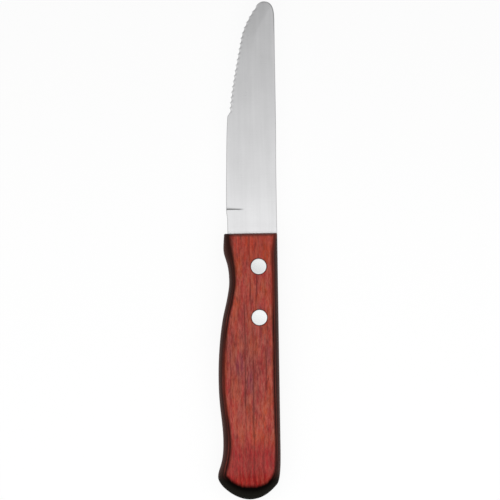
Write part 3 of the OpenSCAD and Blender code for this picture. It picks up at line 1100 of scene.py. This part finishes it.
    def section(self, y):
        """The loop of points round the steel at y, from the spine over the near face."""
        s = self.s
        edge, limit, spine = self.sides(y)
        width = spine - edge
        lean = self.lean(y)
        by_tip = smooth((y - BLADE_LEN + TIP_BEVEL_FROM) / TIP_BEVEL_RUN)
        band = mix(s.spine_bevel, s.tip_bevel, by_tip)
        first = edge + min(s.bevel_w, EDGE_BEVEL_MOST * width)
        last = spine - min(band * lean, SPINE_BEVEL_MOST * width)
        limit = max(first, min(limit, mix(first, last, GRIND_MOST)))

        def bevelled(x):
            """Half the thickness, less the bevel along the spine and round the tip."""
            half = self.half(x, y)
            reach = max(0.0, band - min((spine - x) / lean, BLADE_LEN - y))
            return half - min(BEVEL_SLOPE * reach, BEVEL_CUT_MOST * half)

        hollow = self.hollow(y)
        xs = [first, *(mix(first, limit, part) for part in GRIND_SHARES)]
        xs += [mix(limit, last, part) for part in FACE_SHARES] + [spine]
        far = [(x, bevelled(x)) for x in xs]
        near = [
            (x, half - hollow * s.flute_h * max(0.0, 1 - (x - edge) / s.flute_w) ** 2)
            for x, half in far
        ]
        # The edge itself is blunt on the flat, then keen, and set by the teeth.
        blunt = self.half(edge, y) - BEVEL_SLOPE * s.spine_bevel
        keen = mix(blunt, s.keen_t / 2, clamp((y - s.flat_len) / s.plunge))
        toothed = self.toothed(y, s.teeth_back)
        near_edge = mix(keen, mix(POINT_T, 0.0, hollow), toothed)
        far_edge = mix(keen, s.edge_t / 2, toothed)
        loop = [(x, y, MID_Z + z) for x, z in reversed([(edge, near_edge), *near])]
        loop += [(x, y, MID_Z - z) for x, z in [(edge, far_edge), *far]]
        return [at(*p) for p in loop + loop[:1]]


class STEAK_KNIFE_OT_blade(bpy.types.Operator):
    """Grinds the blade: tang, flat, plunge, hollow grind, teeth and tip"""

    bl_idname = "steak_knife.blade"
    bl_label = "Blade"

    def execute(self, context):
        settings = context.scene.steak_knife_blade
        s = in_millimetres(settings)
        shape = BladeShape(s)
        rows = shape.rows()
        piece = laid_sheet("ground_blade", [shape.section(y) for y in rows])
        close_seam(piece)
        close_ends(piece, 1, [at(0, rows[0], 0).y, at(0, rows[-1], 0).y])
        close_seam(piece)
        for spot in RIVETS:
            reach = BLADE_T / 2 + PAST
            cut(piece, drill(spot, s.tang_bore, MID_Z - reach, MID_Z + reach))
        finish_piece(piece, "blade", satin_steel(settings), crease=22)
        return {"FINISHED"}


# ---- Handle -------------------------------------------------------------------------
OUTLINE_STEPS = 20
ROUND_ROWS = 16
ARRIS_ROWS = 4
POCKET_ROWS = 16
# The rounding turns this far in degrees, and the arris the rest of the way to the flat face.
ROUND_TURN = 66
# Loops on the flat face, where 0 is the rim and 1 the face's edge.
INNER_INSETS = (1.06, 1.14, 1.24, 1.4)
# The rounding is at most this many times as high as wide, and the arris takes up at most
# this share of its width.
ROUND_STEEPEST = 2
ARRIS_MOST = 0.3
# The share of the way in from the rim to the face's edge at which the arris starts.
ARRIS_DEPTH = 0.94
# A knot between the waist and the belly: how far behind the waist it lies, and at which
# share of the way from the waist's width to the belly's.
SLOPE_BEHIND_WAIST = 15.3
SLOPE_SHARE = 0.447
# The knot on the butt's rounded corner at the spine: how far in from the spine and ahead of
# the butt it lies, and the outline's heading there.
CORNER_IN = (2.2, 7.2)
CORNER_HEADING = 226.5
# The pull on both sides of a rounded front corner, as a share of its radius.
CORNER_PULL = 0.55


def belly_side(s, inset):
    """The outline from the front to the butt on the belly side; inset is 0 on the rim and
    1 on the flat face."""
    widths = (s.front_round, s.guard_round, s.belly_round, s.flare_round, s.butt_round)
    front, guard, belly, flare, butt = (inset * width for width in widths)
    x, pull = -SPINE_STEP, CORNER_PULL * s.front_r
    slope_w = mix(s.waist_w, s.belly_w, SLOPE_SHARE)
    slope_y = s.waist_y + SLOPE_BEHIND_WAIST
    flare_y = -HANDLE_LEN + s.flare_back + 0.25 * flare
    flare_in, flare_out = 270 - 12 * inset, 270 + 33 * inset
    return [
        (x - s.front_w + s.front_r + guard, -front, 180, 180, 0, pull),
        (x - s.front_w + guard, -front - s.front_r, 270, 266, pull, 2),
        (x - s.guard_w + guard, -s.guard_y, 270, 270, 2, 5),
        (x - s.waist_w + belly, -s.waist_y, 270, 270, 10.3, 4.1),
        (x - slope_w + belly, -slope_y, 255.8, 255.8, 4.1, 8),
        (x - s.belly_w + belly, -s.belly_y, 270, 270, 12, 16),
        (x - s.tail_w + flare, -HANDLE_LEN + s.tail_back, 270, 270, 11, mix(12, 7, inset)),
        (x - s.flare_w + flare, flare_y, flare_in, flare_out, 4.4, mix(4.2, 2, inset)),
        (x - s.butt_w, -HANDLE_LEN + butt, 0, 0, 7.3, 0),
    ]


def spine_side(s, inset):
    """The outline from the front to the butt on the spine side."""
    x, tail_x = (-SPINE_STEP - inset * width for width in (s.spine_round, s.tail_round))
    front, butt = inset * s.front_round, inset * s.butt_round
    inward = inset * s.flare_round * math.sin(math.radians(45))
    corner_x, corner_y = -SPINE_STEP - CORNER_IN[0] - inward, CORNER_IN[1] + inward - HANDLE_LEN
    pull = CORNER_PULL * s.front_r
    return [
        (x - s.front_r, -front, 0, 0, 0, pull),
        (x, -front - s.front_r, 270, 270, pull, 0),
        (x, -s.guard_y, 270, 270, 0, 0),
        (x, -s.waist_y, 270, 270, 0, 0),
        (x, -s.waist_y - SLOPE_BEHIND_WAIST, 270, 270, 0, 0),
        (x, -s.belly_y, 270, 270, 0, 6),
        (tail_x, -HANDLE_LEN + s.tail_back, 270, 270, 6, 9),
        (corner_x, corner_y, CORNER_HEADING, CORNER_HEADING, 3.4, 2.4),
        (-SPINE_STEP - s.butt_w, -HANDLE_LEN + butt, 180, 180, 7.5, 0),
    ]


def handle_outline(s, inset):
    """The whole outline, down the belly side, up the spine side and closed."""
    down = trace(belly_side(s, inset), OUTLINE_STEPS)
    up = trace(spine_side(s, inset), OUTLINE_STEPS)
    return down + up[-2::-1] + down[:1]


def scale_rows(s):
    """Rows of points over a scale's side, from the parting plane on to the flat face, each
    with how deep in the stain and painted shade it lies: 1 on the rim, 0 where the face is bare."""
    rim, face = handle_outline(s, 0), handle_outline(s, 1)
    bands = [max((q - p).length, 0.01) for p, q in zip(rim, face)]
    cos_turn, sin_turn = ray(ROUND_TURN)
    arris_in, arris_up = s.arris * cos_turn, s.arris * (1 - sin_turn)

    def row(inset_of, height_of):
        return [
            at(*mix(p, q, inset_of(band)), height_of(band))
            for p, q, band in zip(rim, face, bands)
        ]

    def drop(band):
        return min(s.round_h, ROUND_STEEPEST * band)

    def arris_share(band):
        return min(ARRIS_MOST, arris_in / band)

    limit = 1 / INNER_INSETS[-1]
    rows = [
        row(lambda band: s.seam / band, lambda band: MID_Z),
        row(lambda band: 0, lambda band: MID_Z + s.seam),
    ]
    depths = [1.0, 1.0]
    for i in range(ROUND_ROWS + 1):
        cos, sin = ray(ROUND_TURN * i / ROUND_ROWS)
        inward, upward = (1 - cos) / (1 - cos_turn), sin / sin_turn
        rows.append(
            row(
                lambda band: inward * (1 - arris_share(band)),
                lambda band: HANDLE_T - arris_up - (drop(band) - arris_up) * (1 - upward),
            )
        )
        depths.append(1 - limit * inward * ARRIS_DEPTH)
    for i in range(1, ARRIS_ROWS + 1):
        cos, sin = ray(mix(ROUND_TURN, 90, i / ARRIS_ROWS))
        rows.append(
            row(
                lambda band: 1 - arris_share(band) * cos / cos_turn,
                lambda band: HANDLE_T - s.arris * (1 - sin),
            )
        )
        depths.append(1 - limit * mix(ARRIS_DEPTH, 1, i / ARRIS_ROWS))
    for inset in INNER_INSETS:
        rows.append([at(*p, HANDLE_T) for p in handle_outline(s, inset)])
        depths.append(1 - limit * inset)
    return rows, depths


def pocket_cutter(s, tang_w, tang_r):
    """A cutter for the tang's half pocket, open at the front and along the spine."""
    gap = s.pocket_gap
    low = at(-SPINE_STEP - tang_w - gap, -TANG_LEN - gap, MID_Z - PAST)
    high = at(PAST, PAST, MID_Z + BLADE_T / 2 + gap)
    box = {"size": 1, "location": (low + high) / 2, "scale": high - low}
    cutter = new_piece("pocket", bpy.ops.mesh.primitive_cube_add, **box)

    def rear_corner(edge):
        return all((p - low).xy.length < TOLERANCE for p in ends(cutter, edge))

    choose(cutter, "EDGE", rear_corner)
    bpy.ops.mesh.bevel(offset=(tang_r + gap) * MM, segments=POCKET_ROWS, affect="EDGES")
    bpy.ops.object.mode_set(mode="OBJECT")
    return cutter


class STEAK_KNIFE_OT_scales(bpy.types.Operator):
    """Shapes the near scale, pockets and drills it, and mirrors it for the far side"""

    bl_idname = "steak_knife.scales"
    bl_label = "Handle scales"

    def execute(self, context):
        settings = context.scene.steak_knife_handle
        s = in_millimetres(settings)
        blade = in_millimetres(context.scene.steak_knife_blade)
        rivet = in_millimetres(context.scene.steak_knife_rivets)
        rows, depths = scale_rows(s)
        near = laid_sheet("near_wood_scale", rows, depths)
        close_seam(near)
        close_ends(near, 2, [rows[0][0].z, rows[-1][0].z])
        close_seam(near)
        head_seat = HEAD_TOP - rivet.head_t
        for spot in RIVETS:
            cut(near, drill(spot, s.sleeve_hole, MID_Z - PAST, HANDLE_T + PAST))
            cut(near, drill(spot, HEAD_D + 2 * s.ring_gap, head_seat, HANDLE_T + PAST))
        cut(near, pocket_cutter(s, blade.tang_w, blade.tang_r))

        far = near.copy()
        far.data = near.data.copy()
        far.name = far.data.name = "far_wood_scale"
        context.collection.objects.link(far)
        for vertex in far.data.vertices:
            vertex.co.z = NEAR_HIGH.z + FAR_LOW.z - vertex.co.z
        close_seam(far)

        wood = handle_wood(settings)
        finish_piece(near, "near_scale", wood)
        finish_piece(far, "far_scale", wood)
        return {"FINISHED"}


# ---- Rivets -------------------------------------------------------------------------
RIM_ROWS = 5
CROWN_RINGS = 4


def face_at(piece, place, up):
    """Selects the flat face at a height that looks up or down."""
    choose(
        piece,
        "FACE",
        lambda face: abs(face.center.z - place) < TOLERANCE and face.normal.z * up > 0.99,
    )


def rivet_part(name, node, s, inner_d, bore_d=0.0):
    """A head with a post, or with a sleeve if it has a bore, between the node's ends."""
    low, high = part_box(node)
    up = 1 if "post" in node else -1
    outside, inside = (high.z, low.z) if up > 0 else (low.z, high.z)
    under = outside - up * s.head_t * MM
    head_r = (high.x - low.x) / 2
    piece = new_piece(
        name,
        bpy.ops.mesh.primitive_cylinder_add,
        vertices=ROUND_SIDES,
        radius=head_r,
        depth=s.head_t * MM,
        location=(*((low + high) / 2).xy, (outside + under) / 2),
    )

    # The rim is rounded, and the middle of the head stands a little proud of it.
    face_at(piece, outside, up)
    bpy.ops.mesh.bevel(offset=s.rim * MM, segments=RIM_ROWS, affect="EDGES")
    bpy.ops.object.mode_set(mode="OBJECT")
    face_at(piece, outside, up)
    for ring in range(CROWN_RINGS):
        bpy.ops.mesh.inset(thickness=(head_r - s.rim * MM) / (CROWN_RINGS + 1))
        lift = s.crown * MM / CROWN_RINGS * (1 - ring / CROWN_RINGS)
        bpy.ops.transform.translate(value=(0, 0, up * lift))
    bpy.ops.object.mode_set(mode="OBJECT")

    # The post or the sleeve is drawn out of the head's underside, and the bore pushed in.
    face_at(piece, under, -up)
    draws = [(head_r - inner_d / 2 * MM, inside - under)]
    if bore_d:
        draws.append(((inner_d - bore_d) / 2 * MM, under - inside))
    for thickness, reach in draws:
        bpy.ops.mesh.inset(thickness=thickness)
        bpy.ops.mesh.extrude_region_move(TRANSFORM_OT_translate={"value": (0, 0, reach)})
    bpy.ops.object.mode_set(mode="OBJECT")
    close_seam(piece)
    return piece


class STEAK_KNIFE_OT_rivets(bpy.types.Operator):
    """Turns the two rivets, each a post with a head and a sleeve with a head"""

    bl_idname = "steak_knife.rivets"
    bl_label = "Rivets"

    def execute(self, context):
        settings = context.scene.steak_knife_rivets
        s = in_millimetres(settings)
        metal = polished_head(settings)
        for place in ("front", "rear"):
            for part, sizes in (("post", (s.post_d,)), ("sleeve", (s.sleeve_d, s.bore_d))):
                node = f"{place}_rivet_{part}"
                piece = rivet_part(f"{place}_{part}_polished", node, s, *sizes)
                finish_piece(piece, node, metal)
        return {"FINISHED"}


# ---- Stage --------------------------------------------------------------------------
WHITE = (1.0, 1.0, 1.0, 1.0)
FLOOR_GREY = (0.85, 0.85, 0.85, 1.0)
FLOOR_GLOW = 1.05
FLOOR_GLOW_SHARE = 0.85
# The floor lies this far under the knife, in millimetres.
FLOOR_GAP = 0.05
# From what to what steepness the surroundings brighten, as light and as metal shows them.
GLOW_RISE = (0.0, 0.8)
SHINE_RISE = (0.3, 0.8)
# The softboxes, in metres of the frame.
SOFTBOXES = 6
SOFTBOX_X = 0.02
SOFTBOX_BACK = -0.40
SOFTBOX_W = 0.7
SOFTBOX_STEP = 0.01


def softbox(name, height, front, radiance):
    """A rectangular lamp overhead that the camera doesn't see; radiance 1 is white."""
    depth = front - SOFTBOX_BACK
    place = (SOFTBOX_X, (front + SOFTBOX_BACK) / 2, height)
    bpy.ops.object.light_add(type="AREA", location=place)
    lamp = bpy.context.object
    lamp.name = name
    lamp.data.shape = "RECTANGLE"
    lamp.data.size = SOFTBOX_W
    lamp.data.size_y = depth
    lamp.data.energy = radiance * math.pi * SOFTBOX_W * depth
    lamp.visible_camera = False


def studio_world(settings):
    """Soft surroundings that light the knife mostly from above. They are seen as white, and
    metal shows them pale all round."""
    world = bpy.data.worlds.new("studio")
    world.use_nodes = True
    tree = world.node_tree
    rise = split(add_node("ShaderNodeTexCoord", {}, "Generated", tree))[2]
    glow = spread(rise, *GLOW_RISE, settings.horizon, settings.zenith)
    shine = spread(rise, *SHINE_RISE, settings.horizon_shine, settings.zenith)
    path = outputs(add_node("ShaderNodeLightPath", {}, tree=tree))
    light = between(path["Is Glossy Ray"], glow, shine)
    strength = between(path["Is Camera Ray"], light, 1.0)
    feed(tree.nodes["Background"], {"Color": WHITE, "Strength": strength})
    return world


def floor_finish():
    """A pale floor that shows white, keeps the knife's shadow and is clear from below."""
    material = bpy.data.materials.new("pale_floor")
    material.use_nodes = True
    tree = material.node_tree
    tree.nodes.remove(tree.nodes["Principled BSDF"])
    path = outputs(add_node("ShaderNodeLightPath", {}, tree=tree))
    seen = most(*(path[f"Is {kind} Ray"] for kind in ("Camera", "Glossy", "Transmission")))
    matt = add_node("ShaderNodeBsdfDiffuse", {"Color": FLOOR_GREY}, tree=tree)
    glow = {"Color": WHITE, "Strength": FLOOR_GLOW}
    white = add_node("ShaderNodeEmission", glow, tree=tree)
    above = add_node("ShaderNodeMixShader", {0: seen * FLOOR_GLOW_SHARE, 1: matt, 2: white})
    below = add_node("ShaderNodeNewGeometry", {}, "Backfacing", tree)
    clear = add_node("ShaderNodeBsdfTransparent", {}, tree=tree)
    both = add_node("ShaderNodeMixShader", {0: below, 1: above, 2: clear})
    feed(tree.nodes["Material Output"], {"Surface": both})
    return material


class STEAK_KNIFE_OT_stage(bpy.types.Operator):
    """Sets up the floor, the soft light and the camera above the knife"""

    bl_idname = "steak_knife.stage"
    bl_label = "Stage"

    def execute(self, context):
        settings = context.scene.steak_knife_stage
        floor = new_piece(
            "pale_floor",
            bpy.ops.mesh.primitive_circle_add,
            vertices=ROUND_SIDES,
            radius=settings.floor_r,
            fill_type="NGON",
            location=(0, 0, FAR_LOW.z - FLOOR_GAP * MM),
        )
        floor.data.materials.append(floor_finish())
        context.scene.world = studio_world(settings)

        # The softboxes hang one over the other, and each ends a little further along the
        # blade, so that the light fades evenly from the handle to the tip.
        for i in range(SOFTBOXES):
            front = mix(-settings.fade_from, settings.fade_to, i / (SOFTBOXES - 1))
            height = settings.lamp_height + SOFTBOX_STEP * i
            softbox(f"overhead_softbox_{i + 1}", height, front, settings.softbox / SOFTBOXES)

        context.scene.view_settings.view_transform = "Standard"
        middle = (BLADE_LOW.z + BLADE_HIGH.z) / 2
        bpy.ops.object.camera_add(
            location=(settings.view_x, settings.view_y, middle + settings.camera_height),
            rotation=(0, 0, settings.roll),
        )
        camera = context.object
        camera.name = "photo_camera"
        camera.data.lens = camera.data.sensor_width * settings.camera_height / settings.view_w
        camera.data.clip_end = 2 * settings.floor_r
        context.scene.camera = camera
        return {"FINISHED"}


# ---- Panel and registration ---------------------------------------------------------
GROUPS = {
    "steak_knife_blade": BladeSettings,
    "steak_knife_handle": HandleSettings,
    "steak_knife_rivets": RivetSettings,
    "steak_knife_stage": StageSettings,
}
OPERATORS = (
    STEAK_KNIFE_OT_blade,
    STEAK_KNIFE_OT_scales,
    STEAK_KNIFE_OT_rivets,
    STEAK_KNIFE_OT_stage,
)


class STEAK_KNIFE_PT_panel(bpy.types.Panel):
    """Lists the pieces and their settings"""

    bl_idname = "STEAK_KNIFE_PT_panel"
    bl_label = "Steak Knife"
    bl_space_type = "VIEW_3D"
    bl_region_type = "UI"
    bl_category = "Steak Knife"

    def draw(self, context):
        for operator, group in zip(OPERATORS, GROUPS):
            box = self.layout.box()
            box.operator(operator.bl_idname)
            for field in GROUPS[group].__annotations__:
                box.prop(getattr(context.scene, group), field)


def register():
    for group in GROUPS.values():
        bpy.utils.register_class(group)
    for name, group in GROUPS.items():
        setattr(bpy.types.Scene, name, bpy.props.PointerProperty(type=group))
    for cls in (*OPERATORS, STEAK_KNIFE_PT_panel):
        bpy.utils.register_class(cls)


def unregister():
    for cls in (STEAK_KNIFE_PT_panel, *reversed(OPERATORS)):
        bpy.utils.unregister_class(cls)
    for name, group in GROUPS.items():
        delattr(bpy.types.Scene, name)
        bpy.utils.unregister_class(group)


def main():
    """Builds every piece and the stage."""
    register()
    bpy.ops.object.select_all(action="DESELECT")
    bpy.ops.steak_knife.blade()
    bpy.ops.steak_knife.scales()
    bpy.ops.steak_knife.rivets()
    bpy.ops.steak_knife.stage()


if __name__ == "__main__":
    main()
